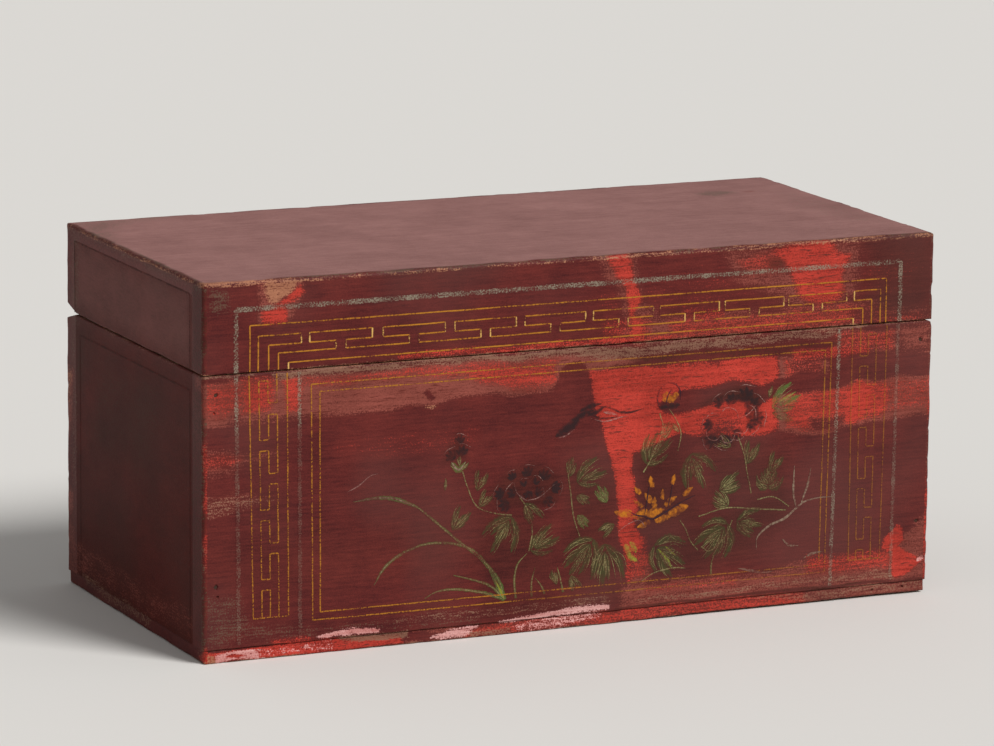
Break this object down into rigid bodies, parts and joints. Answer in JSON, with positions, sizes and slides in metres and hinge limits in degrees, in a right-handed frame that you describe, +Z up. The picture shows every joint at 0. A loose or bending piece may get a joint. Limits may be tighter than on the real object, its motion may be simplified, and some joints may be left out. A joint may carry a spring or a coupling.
{
  "type": "small lacquered chest",
  "caption": "Small rectangular wooden chest in worn red lacquer with gilt fret borders and a painted flower panel; its deep lid lifts on linked wire-eye hinges at the back.",
  "frame": {"origin": "middle of the underside, on the surface the chest stands on", "axes": "+X along the front to the right, +Y from the front to the back, +Z up"},
  "size_m": [0.46, 0.218, 0.2165],
  "materials": {
    "red_lacquer": "aged dark red lacquer over softwood boards, rubbed through to brighter red and bare wood at edges",
    "forged_iron": "dark forged iron with a little rust",
    "gilt_paint": "hand-painted gold lines, partly rubbed away",
    "flower_paint": "hand-painted leaves and flowers in lacquer colours"
  },
  "bodies": {
    "chest": {"front_board": "red_lacquer", "back_board": "red_lacquer", "left_side_board": "red_lacquer", "right_side_board": "red_lacquer", "bottom_board": "red_lacquer", "front_corner_nails": "forged_iron", "back_corner_nails": "forged_iron", "bottom_nails": "forged_iron", "bottom_end_nails": "forged_iron", "left_body_eye": "forged_iron", "right_body_eye": "forged_iron"},
    "lid": {"lid_top_board": "red_lacquer", "lid_front_rail": "red_lacquer", "lid_back_rail": "red_lacquer", "lid_left_rail": "red_lacquer", "lid_right_rail": "red_lacquer", "lid_front_corner_nails": "forged_iron", "lid_back_corner_nails": "forged_iron", "lid_top_nails": "forged_iron", "left_lid_eye": "forged_iron", "right_lid_eye": "forged_iron"}
  },
  "joints": [
    {"name": "lid_hinge", "type": "hinge", "parent": "chest", "child": "lid", "pos_m": [0, 0.1054, 0.16425], "axis": [-1, 0, 0], "range_deg": [0, 100]}
  ]
}
